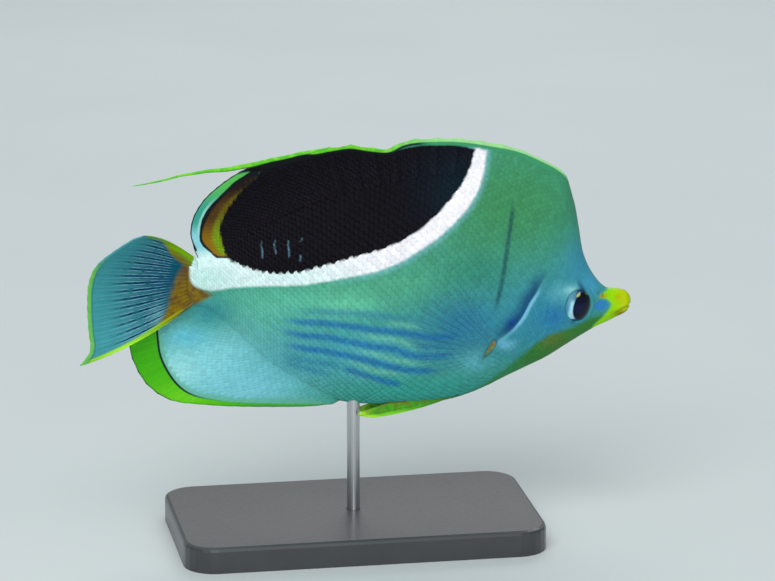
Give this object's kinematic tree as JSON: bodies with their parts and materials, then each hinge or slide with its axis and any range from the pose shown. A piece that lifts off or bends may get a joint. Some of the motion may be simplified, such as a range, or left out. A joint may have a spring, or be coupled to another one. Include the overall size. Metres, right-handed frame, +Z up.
{
  "type": "blackblotch butterflyfish",
  "caption": "Still, life-size butterflyfish with black back blotch, snout, fanned fins and trailing dorsal filament, on a flat base with one rod",
  "frame": {"origin": "middle of the underside of the stand's base, straight below the rod", "axes": "+X to the fish's head, +Z up, the fish's right side faces -Y"},
  "size_m": [0.2144, 0.08, 0.1559],
  "materials": {
    "skin": "satin fish skin under fine overlapping scales, green and blue with a black blotch and a white band",
    "fin": "thin rayed fin membrane, black, green and yellow by fin",
    "clear_fin": "clear bluish fin membrane on fine rays",
    "eye": "wet, glossy eye with a dark pupil and a pale iris",
    "stand_base": "dark satin stand base",
    "stand_rod": "brushed metal rod"
  },
  "bodies": {
    "root": {"head": "skin", "lower_jaw": "skin", "gill_cover_right": "skin", "gill_cover_left": "skin", "trunk": "skin", "tail_base": "skin", "dorsal_fin_spines": "fin", "dorsal_fin_soft": "fin", "dorsal_filament": "fin", "anal_fin": "fin", "tail_fin": "fin", "pectoral_fin_right": "clear_fin", "pectoral_fin_left": "clear_fin", "pelvic_fin_right": "fin", "pelvic_fin_left": "fin", "eye_right": "eye", "eye_left": "eye", "stand_base": "stand_base", "stand_rod": "stand_rod"}
  },
  "joints": []
}
